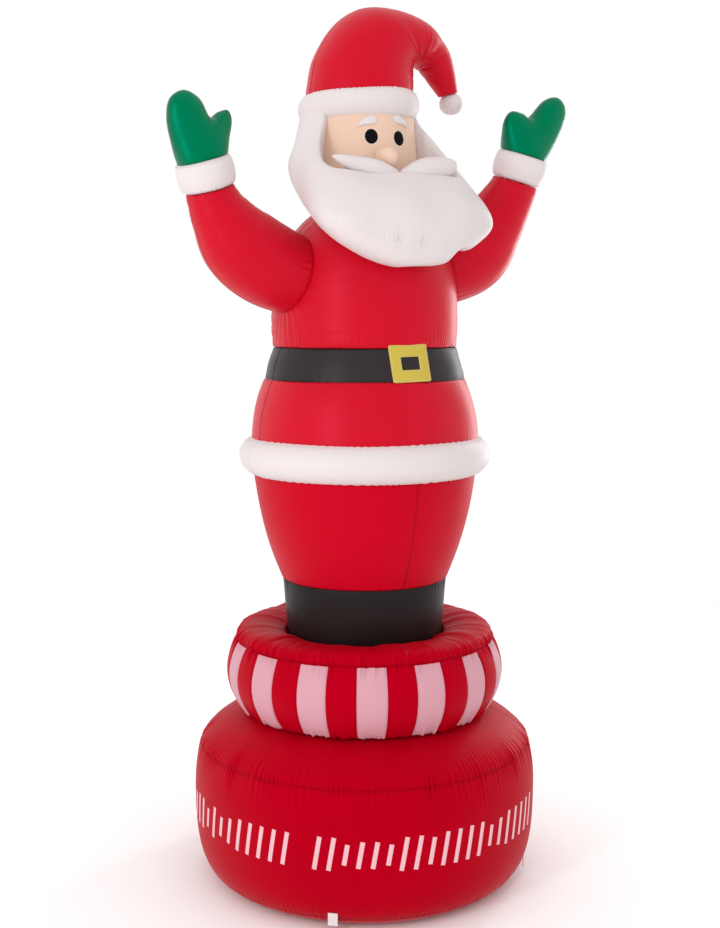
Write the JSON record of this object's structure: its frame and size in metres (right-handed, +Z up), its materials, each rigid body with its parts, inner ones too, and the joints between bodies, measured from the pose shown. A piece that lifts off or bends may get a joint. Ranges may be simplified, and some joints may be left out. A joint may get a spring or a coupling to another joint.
{
  "type": "inflatable santa",
  "caption": "Air-filled fabric garden figure: a bearded Santa with raised arms stands in a puffed striped ring on a wide round drum.",
  "frame": {"origin": "middle of the drum's flat underside, on the ground", "axes": "+Z up, -Y the way Santa faces, +X towards Santa's left hand"},
  "size_m": [1.1889, 0.984, 2.4518],
  "materials": {
    "red_nylon": "satin",
    "white_nylon": "satin",
    "black_nylon": "satin",
    "green_nylon": "satin",
    "skin_nylon": "satin",
    "yellow_nylon": "satin",
    "white_webbing": "satin"
  },
  "bodies": {
    "root": {"base_drum": "red_nylon", "striped_ring": "red_nylon", "boots": "black_nylon", "trousers": "red_nylon", "coat_skirt": "red_nylon", "belt": "black_nylon", "coat_top": "red_nylon", "head": "skin_nylon", "belt_buckle": "yellow_nylon", "right_eye": "black_nylon", "left_eye": "black_nylon", "right_eyebrow": "white_nylon", "left_eyebrow": "white_nylon", "coat_hem": "white_nylon", "hat": "red_nylon", "pompom": "white_nylon", "hat_band": "white_nylon", "nose": "skin_nylon", "beard": "white_nylon", "moustache": "white_nylon", "right_sleeve": "red_nylon", "left_sleeve": "red_nylon", "right_cuff": "white_nylon", "left_cuff": "white_nylon", "right_mitten": "green_nylon", "left_mitten": "green_nylon", "stake_tab_1": "white_webbing", "stake_tab_2": "white_webbing", "stake_tab_3": "white_webbing", "stake_tab_4": "white_webbing"}
  },
  "joints": []
}
